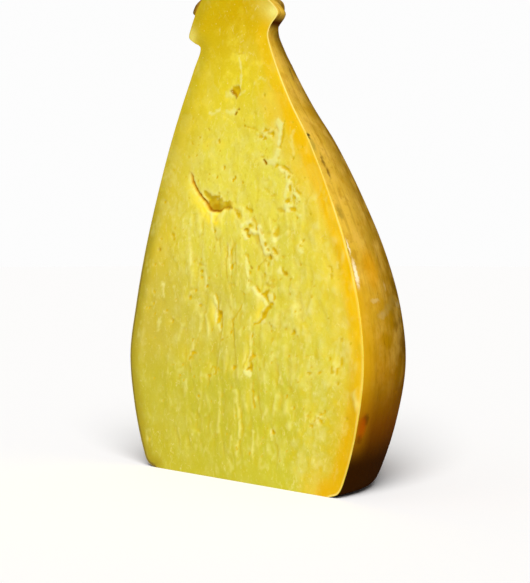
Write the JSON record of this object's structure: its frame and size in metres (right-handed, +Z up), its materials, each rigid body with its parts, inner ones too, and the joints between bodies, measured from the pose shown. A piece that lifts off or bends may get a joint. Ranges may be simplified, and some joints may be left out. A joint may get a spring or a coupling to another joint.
{
  "type": "half provola cheese",
  "caption": "Half of a pear-shaped stretched-curd cheese, cut lengthwise, with a knob above a cord groove, a smooth rind and a torn cut face. It stands on its foot.",
  "frame": {"origin": "on the floor, under the middle of the part's box", "axes": "+Z up from the foot to the knob, -Y out of the cut face, +X to the right of someone who looks at the cut face"},
  "size_m": [0.2248, 0.1124, 0.336],
  "materials": {
    "cheese": "waxy yellow paste with a satin cut face and a glossier amber rind"
  },
  "bodies": {
    "root": {"provola": "cheese"}
  },
  "joints": []
}
